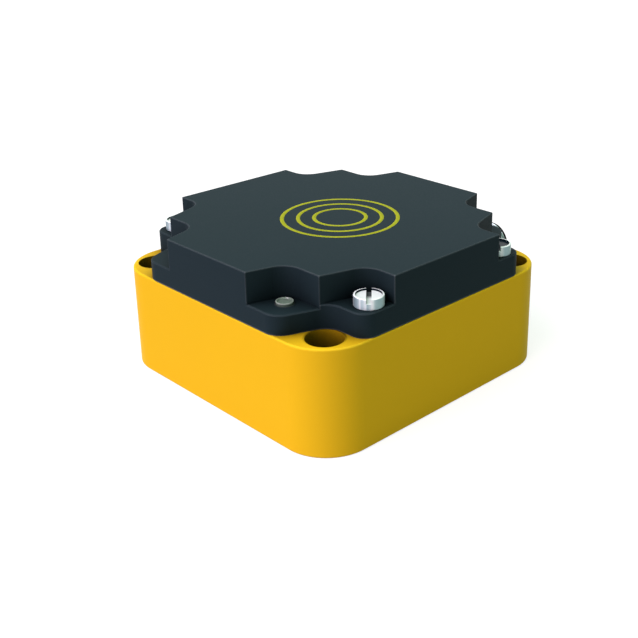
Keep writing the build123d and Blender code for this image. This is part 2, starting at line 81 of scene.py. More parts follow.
COLOUR, FLOAT, VECTOR = "NodeSocketColor", "NodeSocketFloat", "NodeSocketVector"
WHITE = (1.0, 1.0, 1.0, 1.0)
log = logging.getLogger("sensor")

Colour = tuple[float, float, float]
Point = tuple[float, float, float]
Outline = float | Callable[[float], float]
Station = tuple[float, Outline]


def linear(colour: Colour) -> tuple[float, float, float, float]:
    """Turn a display colour into the linear values that a shader takes.

    Args:
        colour: Red, green and blue from 0 to 1 as they look on a screen.

    Returns:
        Linear red, green and blue, and an alpha of 1.
    """
    parts = [c / 12.92 if c <= 0.04045 else ((c + 0.055) / 1.055) ** 2.4 for c in colour]
    return (parts[0], parts[1], parts[2], 1.0)


class Axis(Enum):
    """Direction along which a turned piece was held in its lathe."""

    UP = (0.0, 0.0, 1.0)
    BACK = (0.0, 1.0, 0.0)


class Graph:
    """Adds nodes to one shader tree and links them."""

    def __init__(self, tree: bpy.types.NodeTree) -> None:
        """Keep the material's or group's tree that is worked on."""
        self.tree = tree

    def add(
        self, kind: str, settings: dict[str, Any] | None = None, **values: Any
    ) -> bpy.types.Node:
        """Add one node.

        Args:
            kind: Blender's name of the node type.
            settings: Properties set on the node itself.
            **values: Input sockets by name, underscores for spaces.

        Returns:
            The new node.
        """
        node = self.tree.nodes.new(kind)
        for key, value in (settings or {}).items():
            setattr(node, key, value)
        for key, value in values.items():
            self.feed(node, key.replace("_", " "), value)
        return node

    def feed(self, node: bpy.types.Node, socket: str | int, value: Any) -> None:
        """Link or set one input of a node.

        Args:
            node: The node that is fed.
            socket: The input's name or place.
            value: An output socket to link, or a plain value to set.
        """
        if isinstance(value, bpy.types.NodeSocket):
            self.tree.links.new(value, node.inputs[socket])
        else:
            node.inputs[socket].default_value = value

    def maths(
        self, operation: str, first: Any, second: Any = 0.0, third: Any = 0.0
    ) -> bpy.types.NodeSocket:
        """Combine up to three numbers.

        Args:
            operation: Blender's name of the operation.
            first: A socket or a number.
            second: A socket or a number.
            third: A socket or a number.

        Returns:
            The result's socket.
        """
        node = self.add("ShaderNodeMath", {"operation": operation})
        for place, value in enumerate((first, second, third)):
            self.feed(node, place, value)
        return node.outputs[0]

    def vectors(
        self, operation: str, first: Any, second: Any = (0.0, 0.0, 0.0)
    ) -> bpy.types.Node:
        """Combine two vectors.

        Args:
            operation: Blender's name of the operation.
            first: A socket or three numbers.
            second: A socket or three numbers.

        Returns:
            The node, whose outputs are Vector and Value.
        """
        node = self.add("ShaderNodeVectorMath", {"operation": operation})
        self.feed(node, 0, first)
        self.feed(node, 1, second)
        return node

    def dot(self, first: Any, second: Any) -> bpy.types.NodeSocket:
        """Return the dot product of two vectors."""
        return self.vectors("DOT_PRODUCT", first, second).outputs["Value"]

    def rest(self, share: bpy.types.NodeSocket) -> bpy.types.NodeSocket:
        """Return what a share leaves of 1."""
        return self.maths("SUBTRACT", 1.0, share)

    def scaled(self, vector: Any, factor: Any) -> bpy.types.NodeSocket:
        """Multiply a vector or colour by one number.

        Args:
            vector: A vector or colour socket.
            factor: A number or a number socket.

        Returns:
            The scaled vector's socket.
        """
        node = self.add("ShaderNodeVectorMath", {"operation": "SCALE"})
        self.feed(node, 0, vector)
        self.feed(node, "Scale", factor)
        return node.outputs["Vector"]

    def mixed(self, factor: Any, first: Any, second: Any) -> bpy.types.NodeSocket:
        """Blend two colours.

        Args:
            factor: Share of the second colour.
            first: A colour or a colour socket.
            second: A colour or a colour socket.

        Returns:
            The blended colour's socket.
        """
        node = self.add("ShaderNodeMix", {"data_type": "RGBA"})
        self.feed(node, "Factor", factor)
        self.feed(node, MIX_FIRST, first)
        self.feed(node, MIX_SECOND, second)
        return node.outputs[MIX_RESULT]

    def spread(
        self, value: Any, low: Any, high: Any, to_low: float = 0.0, to_high: float = 1.0
    ) -> bpy.types.NodeSocket:
        """Map one range of numbers onto another, held at both ends.

        Args:
            value: A number socket.
            low: Where the first range starts, a number or a socket.
            high: Where the first range ends, a number or a socket.
            to_low: What the start turns into.
            to_high: What the end turns into.

        Returns:
            The mapped number's socket.
        """
        ends = {"From_Min": low, "From_Max": high, "To_Min": to_low, "To_Max": to_high}
        return self.add("ShaderNodeMapRange", Value=value, **ends).outputs[0]

    def noise(
        self, place: Any, scale: Any, detail: float, roughness: float, bend: float = 0.0
    ) -> bpy.types.NodeSocket:
        """Lay a cloudy noise.

        Args:
            place: Where it is read, a vector socket.
            scale: Its scale, a number or a socket.
            detail: How many finer layers it has.
            roughness: How strong the finer layers are.
            bend: How much it is distorted.

        Returns:
            The noise's socket, around NOISE_MEAN.
        """
        values = {"Scale": scale, "Detail": detail, "Roughness": roughness, "Distortion": bend}
        return self.add("ShaderNodeTexNoise", Vector=place, **values).outputs[0]

    def open_share(self, reach: Any, inside: bool = False) -> bpy.types.NodeSocket:
        """Measure how free the space round a point is.

        Args:
            reach: How far it looks, in metres or as a socket.
            inside: Looks into the piece itself, which finds its convex edges.

        Returns:
            The free share's socket, from 0 to 1.
        """
        settings = {"samples": CONTACT_SAMPLES, "inside": inside, "only_local": inside}
        return self.add("ShaderNodeAmbientOcclusion", settings, Distance=reach).outputs["AO"]


class ShadedGroup:
    """A shader node group that is built once and placed in many materials."""

    title: str = ""
    inputs: dict[str, str] = {}
    outputs: dict[str, str] = {"Colour": COLOUR, "Roughness": FLOAT, "Height": FLOAT}

    def tree(self) -> bpy.types.NodeTree:
        """Build the group on its first use.

        Returns:
            The group's node tree.
        """
        made = bpy.data.node_groups.get(self.title)
        if made is not None:
            return made
        made = bpy.data.node_groups.new(self.title, "ShaderNodeTree")
        for name, kind in self.inputs.items():
            made.interface.new_socket(name, in_out="INPUT", socket_type=kind)
        for name, kind in self.outputs.items():
            made.interface.new_socket(name, in_out="OUTPUT", socket_type=kind)
        graph = Graph(made)
        self.wire(graph, graph.add("NodeGroupInput"), graph.add("NodeGroupOutput"))
        return made

    def wire(self, graph: Graph, given: bpy.types.Node, result: bpy.types.Node) -> None:
        """Lay the group's inside.

        Args:
            graph: The group's graph.
            given: The group's input node.
            result: The group's output node.
        """
        raise NotImplementedError

    def place(self, graph: Graph, **values: Any) -> bpy.types.Node:
        """Put the group into a material.

        Args:
            graph: The material's graph.
            **values: Its inputs by name, underscores for spaces.

        Returns:
            The placed group node.
        """
        return graph.add("ShaderNodeGroup", {"node_tree": self.tree()}, **values)


class MouldSkin(ShadedGroup):
    """Skin of an injection moulding: fine grain, flow mottling, painted shade in hollows and
    painted highlights on edges.
    """

    title: str = "mould_skin"
    inputs = {"Colour": COLOUR, "Edge Colour": COLOUR} | dict.fromkeys(
        (
            "Mottle", "Grain", "Gloss", "Hollow", "Reach", "Edge", "Edge Reach",
            "Well Place", "Well Radius", "Well Shade",
        ),
        FLOAT,
    )
    grain_detail: float = 3.0
    grain_roughness: float = 0.6
    grain_gloss: float = 0.18
    speck: float = 0.5
    flow_scale: float = 38.0
    flow_detail: float = 4.0
    flow_roughness: float = 0.55
    flow_bend: float = 0.6
    flow_height: float = 0.4
    # edge_start and edge_full set the painted edge highlight; the well values and floor_clear_mm
    # bound the painted shade.
    edge_start: float = 0.92
    edge_full: float = 0.64
    well_rim: float = 1.12
    well_wall: float = 1.04
    floor_clear_mm: float = 8.0

    def in_well(
        self, graph: Graph, given: bpy.types.Node, parts: bpy.types.Node
    ) -> bpy.types.NodeSocket:
        """Mark the four mounting wells and their rims, where the painted shade is deeper and no
        edge highlight is painted.

        Args:
            graph: The group's graph.
            given: The group's input node.
            parts: The place, split into its X, Y and Z.

        Returns:
            A mask's socket, 1 in the wells.
        """
        offset = graph.add("ShaderNodeCombineXYZ")
        for axis in ("X", "Y"):
            distance = graph.maths("ABSOLUTE", parts.outputs[axis])
            distance = graph.maths("SUBTRACT", distance, given.outputs["Well Place"])
            graph.feed(offset, axis, distance)
        from_axis = graph.vectors("LENGTH", offset.outputs["Vector"]).outputs["Value"]
        rim = graph.maths("MULTIPLY", given.outputs["Well Radius"], self.well_rim)
        wall = graph.maths("MULTIPLY", given.outputs["Well Radius"], self.well_wall)
        return graph.spread(from_axis, rim, wall)

    def wire(self, graph: Graph, given: bpy.types.Node, result: bpy.types.Node) -> None:
        """Lay the grain, the mottling, the painted shade in the hollows and the painted
        highlights on the edges.

        Args:
            graph: The group's graph.
            given: The group's input node.
            result: The group's output node.
        """
        take = given.outputs
        place = graph.add("ShaderNodeTexCoord").outputs["Object"]
        fine = graph.noise(place, take["Grain"], self.grain_detail, self.grain_roughness)
        broad = graph.noise(
            place, self.flow_scale, self.flow_detail, self.flow_roughness, self.flow_bend
        )
        grain = graph.maths("SUBTRACT", fine, NOISE_MEAN)
        shade = graph.maths("SUBTRACT", broad, NOISE_MEAN)
        shade = graph.maths("MULTIPLY_ADD", shade, take["Mottle"], 1.0)
        speck = graph.maths("MULTIPLY", grain, take["Mottle"])
        shade = graph.maths("MULTIPLY_ADD", speck, self.speck, shade)

        parts = graph.add("ShaderNodeSeparateXYZ", Vector=place)
        # Painted shade: the colour darkens where little open space lies round a point, more in
        # the four wells, and not low above the floor.
        in_well = self.in_well(graph, given, parts)
        clear = self.floor_clear_mm * MM
        off_floor = graph.spread(parts.outputs["Z"], clear, 2.0 * clear)
        deeper = graph.maths("MULTIPLY_ADD", in_well, take["Well Shade"], take["Hollow"])
        open_sky = graph.maths("POWER", graph.open_share(take["Reach"]), deeper)
        closed = graph.maths("MULTIPLY", graph.rest(open_sky), off_floor)
        shade = graph.maths("MULTIPLY", shade, graph.rest(closed))

        # Painted highlight: convex edges blend into the edge colour, but not round the wells.
        within = graph.open_share(take["Edge Reach"], inside=True)
        edge = graph.spread(within, self.edge_start, self.edge_full)
        edge = graph.maths("MULTIPLY", edge, take["Edge"])
        edge = graph.maths("MULTIPLY", edge, graph.rest(in_well))
        colour = graph.mixed(edge, take["Colour"], take["Edge Colour"])

        graph.feed(result, "Colour", graph.scaled(colour, shade))
        rough = graph.maths("MULTIPLY_ADD", grain, self.grain_gloss, take["Gloss"])
        graph.feed(result, "Roughness", rough)
        height = graph.maths("MULTIPLY_ADD", broad, self.flow_height, fine)
        graph.feed(result, "Height", height)


class TurnedSkin(ShadedGroup):
    """Skin of a turned and plated piece: tool rings, painted reflection streaks, a dish with its
    slot, a dark mouth.

    The flank is what faces away from the axis, the crown is what faces along it; a darker flank
    colour, reflection streaks and a highlight lobe on it are painted light and shade. Within the
    dish's radius they take the colours of its wall, which is painted shade, and of its floor. The
    slot floor darkens towards the head and the colour darkens where space is close, both as
    painted shade.
    """

    title: str = "turned_skin"
    inputs = (
        dict.fromkeys(("Colour", "Flank", "Band", "Wall"), COLOUR)
        | dict.fromkeys(("Centre", "Along", "Inward"), VECTOR)
        | dict.fromkeys(
            ("Rings", "Gloss", "Cast", "Streak", "Dish", "Slot Level", "Mouth", "Mouth Shade"),
            FLOAT,
        )
    )
    outputs = {"Colour": COLOUR, "Roughness": FLOAT, "Height": FLOAT, "Bare": FLOAT}
    ring_detail: float = 3.0
    ring_tint: float = 0.10
    ring_gloss: float = 0.20
    cast_scale: float = 420.0
    cast_detail: float = 4.0
    cast_roughness: float = 0.6
    # The streaks and the highlight lobe are painted reflections, the side shade lobe is painted
    # shade.
    streak_scale: float = 2.3
    streak_detail: float = 2.0
    streak_roughness: float = 0.5
    streak_start: float = 0.46
    streak_full: float = 0.58
    streak_share: float = 0.7
    gleam_toward: Point = (0.844, -0.536, 0.0)
    gleam_sharpness: float = 90.0
    side_shade_toward: Point = (-0.491, -0.871, 0.0)
    side_shade_sharpness: float = 7.0
    side_shade_depth: float = 0.6
    flank_full: float = 0.2
    flank_end: float = 0.7
    crown_start: float = 0.93
    crown_full: float = 0.985
    # How the painted shade on the slot floor runs towards the head.
    slot_start: float = -0.15
    slot_full: float = 0.4
    slot_depth: float = 0.9
    # Reach and levels of the painted shade from the open space round a point.
    contact_mm: float = 0.8
    contact_closed: float = 0.25
    contact_open: float = 0.75
    contact_light: float = 0.45
    mouth_roughness: float = 0.5

    @staticmethod
    def lobe(
        graph: Graph, turn: bpy.types.NodeSocket, toward: Point, sharpness: float
    ) -> bpy.types.NodeSocket:
        """Mask a narrow band of the flank round one fixed direction.

        Args:
            graph: The group's graph.
            turn: Direction from the axis to the shaded point.
            toward: The band's middle, as a direction of length one.
            sharpness: Power that narrows the band.

        Returns:
            The mask, from 0 to 1.
        """
        facing = graph.maths("MAXIMUM", graph.dot(turn, toward), 0.0)
        return graph.maths("POWER", facing, sharpness)

    def plating(
        self,
        graph: Graph,
        given: bpy.types.Node,
        across: bpy.types.NodeSocket,
        flank: bpy.types.NodeSocket,
    ) -> bpy.types.NodeSocket:
        """Colour the flank with painted reflection streaks, a painted highlight band and a side
        of painted shade.

        Args:
            graph: The group's graph.
            given: The group's input node.
            across: The way from the axis to the shaded point.
            flank: Mask of the flank.

        Returns:
            The colour's socket.
        """
        take = given.outputs
        turn = graph.vectors("NORMALIZE", across).outputs["Vector"]
        streaked = graph.maths("MULTIPLY", flank, take["Streak"])
        # Painted reflections: noise bands round the axis and a fixed highlight lobe lighten the
        # flank towards the band colour.
        bands = graph.noise(turn, self.streak_scale, self.streak_detail, self.streak_roughness)
        streak = graph.spread(bands, self.streak_start, self.streak_full, 0.0, self.streak_share)
        gleam = self.lobe(graph, turn, self.gleam_toward, self.gleam_sharpness)
        streak = graph.maths("MULTIPLY", graph.maths("MAXIMUM", streak, gleam), streaked)
        # Painted shade on one fixed side of the flank.
        side_shade = self.lobe(graph, turn, self.side_shade_toward, self.side_shade_sharpness)
        side_shade = graph.maths("MULTIPLY", graph.maths("MULTIPLY", side_shade, self.side_shade_depth), streaked)
        # On the screws the darker flank colour is painted shade against the band colour.
        colour = graph.mixed(flank, take["Band"], take["Flank"])
        colour = graph.mixed(streak, colour, take["Band"])
        return graph.scaled(colour, graph.rest(side_shade))

    def wire(self, graph: Graph, given: bpy.types.Node, result: bpy.types.Node) -> None:
        """Lay the tool rings, the cast, the flank colours with their painted light and shade, the
        dish, the slot and the mouth.

        Args:
            graph: The group's graph.
            given: The group's input node.
            result: The group's output node.
        """
        take = given.outputs
        place = graph.add("ShaderNodeTexCoord").outputs["Object"]
        out = graph.vectors("SUBTRACT", place, take["Centre"]).outputs["Vector"]
        depth = graph.dot(out, take["Along"])
        lengthwise = graph.scaled(take["Along"], depth)
        across = graph.vectors("SUBTRACT", out, lengthwise).outputs["Vector"]
        radius = graph.vectors("LENGTH", across).outputs["Value"]

        travel = graph.maths("ADD", radius, depth)
        ring = graph.add(
            "ShaderNodeTexNoise",
            {"noise_dimensions": "1D"},
            W=travel,
            Scale=take["Rings"],
            Detail=self.ring_detail,
        ).outputs[0]
        groove = graph.maths("SUBTRACT", ring, NOISE_MEAN)
        cloud = graph.noise(place, self.cast_scale, self.cast_detail, self.cast_roughness)
        tint = graph.maths("SUBTRACT", cloud, NOISE_MEAN)
        tint = graph.maths("MULTIPLY_ADD", tint, take["Cast"], 1.0)
        tint = graph.maths("MULTIPLY_ADD", groove, self.ring_tint, tint)

        normal = graph.add("ShaderNodeNewGeometry").outputs["Normal"]
        end_on = graph.maths("ABSOLUTE", graph.dot(normal, take["Along"]))
        flank = graph.spread(end_on, self.flank_full, self.flank_end, 1.0, 0.0)
        crown = graph.spread(end_on, self.crown_start, self.crown_full)
        colour = self.plating(graph, given, across, flank)
        # Inside the dish the flank takes the wall colour, which is painted shade, and the crown
        # the piece's own colour.
        inner = graph.maths("LESS_THAN", radius, take["Dish"])
        colour = graph.mixed(graph.maths("MULTIPLY", inner, flank), colour, take["Wall"])
        colour = graph.mixed(graph.maths("MULTIPLY", inner, crown), colour, take["Colour"])

        # Painted shade: the slot floor darkens towards the head, in the wall colour.
        low = graph.maths("LESS_THAN", depth, take["Slot Level"])
        in_slot = graph.maths("MULTIPLY", crown, low)
        inward = graph.maths("DIVIDE", graph.dot(across, take["Inward"]), take["Dish"])
        dim = graph.spread(inward, self.slot_start, self.slot_full, 0.0, self.slot_depth)
        colour = graph.mixed(graph.maths("MULTIPLY", in_slot, dim), colour, take["Wall"])
        # Painted shade where little open space lies round a point, left out on the slot floor
        # inside the dish.
        around = graph.open_share(self.contact_mm * MM)
        lit = graph.spread(
            around, self.contact_closed, self.contact_open, self.contact_light, 1.0
        )
        lit = graph.maths("MAXIMUM", lit, graph.maths("MULTIPLY", in_slot, inner))
        tint = graph.maths("MULTIPLY", tint, lit)

        mouth = graph.maths("GREATER_THAN", depth, take["Mouth"])
        mouth = graph.maths("MULTIPLY", mouth, take["Mouth Shade"])
        bare = graph.rest(mouth)
        tint = graph.maths("MULTIPLY", tint, bare)
        graph.feed(result, "Colour", graph.scaled(colour, tint))
        rough = graph.maths("MULTIPLY_ADD", groove, self.ring_gloss, take["Gloss"])
        rough = graph.maths("MULTIPLY_ADD", mouth, self.mouth_roughness, rough)
        graph.feed(result, "Roughness", rough)
        graph.feed(result, "Height", ring)
        graph.feed(result, "Bare", bare)


MOULD_SKIN = MouldSkin()
TURNED_SKIN = TurnedSkin()


@dataclass(frozen=True)
class Finish:
    """What every finish shares: a name and a material that is made once."""

    name: str
    colour: Colour

    @cache
    def material(self) -> bpy.types.Material:
        """Make the finish's material on its first use.

        Returns:
            The material.
        """
        made = bpy.data.materials.new(self.name)
        made.use_nodes = True
        made.node_tree.nodes.clear()
        made.diffuse_color = linear(self.colour)
        graph = Graph(made.node_tree)
        shader = graph.add("ShaderNodeBsdfPrincipled")
        graph.add("ShaderNodeOutputMaterial", Surface=shader.outputs[0])
        self.dress(graph, shader)
        return made

    def dress(self, graph: Graph, shader: bpy.types.Node) -> None:
        """Feed the shader.

        Args:
            graph: The material's graph.
            shader: Its Principled shader.
        """
        raise NotImplementedError


def relief(
    graph: Graph, shader: bpy.types.Node, height: bpy.types.NodeSocket, depth_mm: float
) -> None:
    """Give a shader a relief from a height between 0 and 1.

    Args:
        graph: The material's graph.
        shader: The shader that takes the normal.
        height: The height's socket.
        depth_mm: How deep the relief is at a height of 1.
    """
    bump = graph.add("ShaderNodeBump", Strength=1.0, Distance=depth_mm * MM, Height=height)
    graph.feed(shader, "Normal", bump.outputs["Normal"])


@dataclass(frozen=True)
class Moulding(Finish):
    """A moulded plastic or rubber skin."""

    gloss: float = 0.45
    grain: float = 2600.0
    depth_mm: float = 0.006
    mottle: float = 0.06
    specular: float = 0.5
    # Painted highlight on convex edges: its colour, strength and reach.
    edge_highlight_colour: Colour = (0.5, 0.5, 0.5)
    edge: float = 0.0
    edge_reach_mm: float = 0.35
    # Painted shade in hollows, deeper in the wells of the given place and radius.
    hollow: float = 0.0
    reach_mm: float = 8.0
    well_place_mm: float = 0.0
    well_radius_mm: float = 0.0
    well_shade: float = 0.0

    def skin(self, graph: Graph) -> bpy.types.Node:
        """Place the mould skin with this finish's values.

        Args:
            graph: The material's graph.

        Returns:
            The placed group node.
        """
        return MOULD_SKIN.place(
            graph,
            Colour=linear(self.colour),
            Edge_Colour=linear(self.edge_highlight_colour),
            Mottle=self.mottle,
            Grain=self.grain,
            Gloss=self.gloss,
            Hollow=self.hollow,
            Reach=self.reach_mm * MM,
            Edge=self.edge,
            Edge_Reach=self.edge_reach_mm * MM,
            Well_Place=self.well_place_mm * MM,
            Well_Radius=self.well_radius_mm * MM,
            Well_Shade=self.well_shade,
        )

    def dress(self, graph: Graph, shader: bpy.types.Node) -> None:
        """Feed the shader with the mould skin.

        Args:
            graph: The material's graph.
            shader: Its Principled shader.
        """
        skin = self.skin(graph)
        graph.feed(shader, "Base Color", skin.outputs["Colour"])
        graph.feed(shader, "Roughness", skin.outputs["Roughness"])
        graph.feed(shader, "Specular IOR Level", self.specular)
        relief(graph, shader, skin.outputs["Height"], self.depth_mm)


@dataclass(frozen=True)
class ClearMoulding(Moulding):
    """A frosted light guide: lets light through, with a soft grain inside."""

    clarity: float = 0.55
    refraction: float = 1.49

    def dress(self, graph: Graph, shader: bpy.types.Node) -> None:
        """Feed the shader with the mould skin and let light through.

        Args:
            graph: The material's graph.
            shader: Its Principled shader.
        """
        super().dress(graph, shader)
        graph.feed(shader, "Transmission Weight", self.clarity)
        graph.feed(shader, "IOR", self.refraction)


@dataclass(frozen=True)
class Laminate(Moulding):
    """A circuit board: solder mask over copper tracks."""

    track: Colour = (0.20, 0.48, 0.22)
    track_scale: float = 260.0
    track_full: float = 0.05
    track_end: float = 0.08
    track_mm: float = 0.03

    def dress(self, graph: Graph, shader: bpy.types.Node) -> None:
        """Feed the shader with mask and tracks.

        Args:
            graph: The material's graph.
            shader: Its Principled shader.
        """
        place = graph.add("ShaderNodeTexCoord").outputs["Object"]
        cells = graph.add(
            "ShaderNodeTexVoronoi",
            {"feature": "DISTANCE_TO_EDGE", "distance": "EUCLIDEAN"},
            Vector=place,
            Scale=self.track_scale,
        ).outputs["Distance"]
        track = graph.spread(cells, self.track_full, self.track_end, 1.0, 0.0)
        skin = self.skin(graph)
        colour = graph.mixed(track, skin.outputs["Colour"], linear(self.track))
        graph.feed(shader, "Base Color", colour)
        graph.feed(shader, "Roughness", skin.outputs["Roughness"])
        relief(graph, shader, track, self.track_mm)


@dataclass(frozen=True)
class Turned(Finish):
    """A turned metal piece, or a wound one, with rings round its own axis."""

    centre: Point = (0.0, 0.0, 0.0)
    along: Axis = Axis.UP
    rings: float = 9000.0
    gloss: float = 0.2
    depth_mm: float = 0.0015
    cast: float = 0.12
    # Flank, band and wall colours and the streak share paint light and shade: a darker flank,
    # reflection bands, shaded dish walls and slot.
    flank: Colour | None = None
    band: Colour | None = None
    wall: Colour | None = None
    streak: float = 0.0
    metal: float = 1.0
    specular: float = 0.5
    dish_mm: float = 0.0
    slot_level_mm: float = -1000.0
    inward: Point = (0.0, 0.0, 0.0)
    mouth_mm: float = 0.0
    mouth_shade: float = 0.0

    def dress(self, graph: Graph, shader: bpy.types.Node) -> None:
        """Feed the shader with the turned skin.

        Args:
            graph: The material's graph.
            shader: Its Principled shader.
        """
        skin = TURNED_SKIN.place(
            graph,
            Colour=linear(self.colour),
            Flank=linear(self.flank or self.colour),
            Band=linear(self.band or self.colour),
            Wall=linear(self.wall or self.colour),
            Centre=self.centre,
            Along=self.along.value,
            Inward=self.inward,
            Rings=self.rings,
            Gloss=self.gloss,
            Cast=self.cast,
            Streak=self.streak,
            Dish=self.dish_mm * MM,
            Slot_Level=self.slot_level_mm * MM,
            Mouth=self.mouth_mm * MM,
            Mouth_Shade=self.mouth_shade,
        )
        graph.feed(shader, "Base Color", skin.outputs["Colour"])
        graph.feed(shader, "Roughness", skin.outputs["Roughness"])
        metal = self.metal
        if self.mouth_shade:
            metal = graph.maths("MULTIPLY", skin.outputs["Bare"], self.metal)
        graph.feed(shader, "Metallic", metal)
        graph.feed(shader, "Specular IOR Level", self.specular)
        relief(graph, shader, skin.outputs["Height"], self.depth_mm)


# Its edge colour is a painted highlight line; hollow and well_shade set painted shade in hollows
# and wells.
YELLOW_MOULDING = Moulding(
    "yellow_moulding",
    (0.922, 0.752, 0.122),
    gloss=0.42,
    grain=2400.0,
    depth_mm=0.003,
    mottle=0.03,
    specular=0.02,
    edge_highlight_colour=(0.98, 0.94, 0.25),
    edge=1.0,
    edge_reach_mm=0.6,
    hollow=1.5,
    reach_mm=9.0,
    well_place_mm=32.5,
    well_radius_mm=4.5,
    well_shade=1.6,
)
# Its edge colour is a painted highlight line; hollow sets painted shade in hollows.
BLACK_MOULDING = Moulding(
    "black_moulding",
    (0.1245, 0.180, 0.196),
    gloss=0.5,
    grain=2800.0,
    depth_mm=0.005,
    mottle=0.08,
    specular=0.02,
    edge_highlight_colour=(0.32, 0.36, 0.37),
    edge=1.0,
    edge_reach_mm=0.4,
    hollow=1.2,
    reach_mm=9.0,
)
RING_INK = Moulding(
    "ring_ink",
    (0.62, 0.645, 0.13),
    gloss=0.5,
    grain=3200.0,
    depth_mm=0.003,
    mottle=0.2,
    specular=0.02,
)
SEAL_RUBBER = Moulding(
    "seal_rubber", (0.06, 0.06, 0.065), gloss=0.7, grain=1800.0, depth_mm=0.01, mottle=0.15
)
BLACK_INSULATOR = Moulding("black_insulator", (0.07, 0.07, 0.075), gloss=0.5, mottle=0.1)
GREY_INSULATOR = Moulding("grey_insulator", (0.56, 0.57, 0.56), gloss=0.5)
FERRITE = Moulding(
    "ferrite", (0.17, 0.17, 0.18), gloss=0.6, grain=3500.0, depth_mm=0.02, mottle=0.3
)
RESIN = Moulding(
    "potting_resin", (0.10, 0.10, 0.11), gloss=0.2, grain=300.0, depth_mm=0.02, mottle=0.12
)
CHIP = Moulding(
    "chip_mould", (0.10, 0.10, 0.105), gloss=0.55, grain=4000.0, depth_mm=0.01, mottle=0.15
)
LEAD_SHEATH = Moulding("lead_sheath", (0.42, 0.22, 0.10), gloss=0.35, grain=1200.0)
BOARD = Laminate("board_laminate", (0.06, 0.33, 0.16), gloss=0.3, grain=3000.0, mottle=0.1)
LED_BODY = ClearMoulding(
    "led_clear",
    (0.86, 0.82, 0.50),
    gloss=0.22,
    grain=1500.0,
    depth_mm=0.004,
    mottle=0.25,
    edge_highlight_colour=(0.88, 0.92, 0.88),
    reach_mm=1.6,
    clarity=0.3,
)
# The lens takes painted shade in its hollows and a painted highlight on its rim, in the edge
# colour of the diode's finish.
LAMP_LENS = replace(
    LED_BODY, name="lens_clear", colour=(0.53, 0.62, 0.55), clarity=0.4, edge=0.6, hollow=1.2
)
NICKEL: Colour = (0.86, 0.86, 0.84)
# The near-white screw colour stands in for the crowns' bright reflection; the dark one is painted
# shade for dish walls, slots and the shaded screw's crown.
SCREW_NICKEL: Colour = (0.96, 1.0, 0.99)
SHADED_NICKEL: Colour = (0.05, 0.11, 0.14)
BRASS: Colour = (0.84, 0.68, 0.36)
GOLD: Colour = (0.95, 0.78, 0.42)
# Its darker flank colour, its near-white streak bands and highlight, and its dark wall are
# painted light and shade.
SCREW_PLATING = Turned(
    "screw_plating",
    SCREW_NICKEL,
    gloss=0.2,
    flank=(0.65, 0.77, 0.78),
    band=SCREW_NICKEL,
    wall=SHADED_NICKEL,
    streak=0.9,
    metal=0.12,
    specular=0.1,
)
INSERT_BRASS = Turned("insert_brass", BRASS, gloss=0.28)
CONNECTOR_PLATING = Turned(
    "connector_plating", (0.62, 0.70, 0.69), along=Axis.BACK, gloss=0.28, metal=0.8, specular=0.15
)
CONTACT_GILDING = Turned("contact_gilding", GOLD, along=Axis.BACK)
INNER_METAL = Turned("inner_metal", NICKEL, gloss=0.25)
COPPER = Turned(
    "enamelled_copper",
    (0.80, 0.42, 0.20),
    rings=5000.0,
    gloss=0.32,
    depth_mm=0.05,
    cast=0.3,
    metal=0.7,
)


def dress(name: str, finish: Finish, frame: dict[str, Any]) -> None:
    """Give one CAD node its finish.

    Args:
        name: The node.
        finish: What it is made of.
        frame: The loaded frame.
    """
    node = frame["nodes"][name]
    node.data.materials.clear()
    node.data.materials.append(finish.material())
    log.info("%s: %s", name, finish.name)


def piece_from(
    name: str, mesh: bmesh.types.BMesh, finish: Finish, smooth_deg: float = 35.0
) -> bpy.types.Object:
    """Turn a mesh into a finished piece of the object.

    Args:
        name: The piece's name.
        mesh: Its form, which is freed here.
        finish: What it is made of.
        smooth_deg: Edges flatter than this are shaded smooth.

    Returns:
        The new piece, riding on the body.
    """
    data = bpy.data.meshes.new(name)
    bmesh.ops.recalc_face_normals(mesh, faces=mesh.faces)
    limit = math.radians(smooth_deg)
    for edge in mesh.edges:
        edge.smooth = len(edge.link_faces) != 2 or edge.calc_face_angle(0.0) < limit
    for face in mesh.faces:
        face.smooth = True
    mesh.to_mesh(data)
    mesh.free()
    piece = bpy.data.objects.new(name, data)
    bpy.context.scene.collection.objects.link(piece)
    data.materials.append(finish.material())
    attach(piece, ROOT)
    log.info("%s: %d faces, %s", name, len(data.polygons), finish.name)
    return piece


def turned(
    mesh: bmesh.types.BMesh,
    stations: Sequence[Station],
    steps: int,
    middle_mm: Point,
    along: Axis = Axis.UP,
    looped: bool = False,
) -> list[list[bmesh.types.BMVert]]:
    """Turn a form round its axis.

    Args:
        mesh: The mesh that takes it.
        stations: Its rings in order, each with its place along the axis and its radius in
            millimetres. The radius is a number, or a function of the angle in radians.
        steps: How many points each ring has.
        middle_mm: Where the axis starts.
        along: Which way the axis runs.
        looped: Joins the last ring to the first one.

    Returns:
        The points of each ring.
    """
    rings = []
    for travel, outline in stations:
        ring = []
        for step in range(steps):
            turn = math.tau * step / steps
            radius = outline(turn) if callable(outline) else outline
            x, y, z = radius * math.cos(turn), radius * math.sin(turn), travel
            point = (x, z, y) if along is Axis.BACK else (x, y, z)
            ring.append(mesh.verts.new([(m + c) * MM for m, c in zip(middle_mm, point)]))
        rings.append(ring)
    for first, second in zip(rings, rings[1:] + rings[:1] if looped else rings[1:]):
        for step in range(steps):
            after = (step + 1) % steps
            mesh.faces.new((first[step], first[after], second[after], second[step]))
    return rings


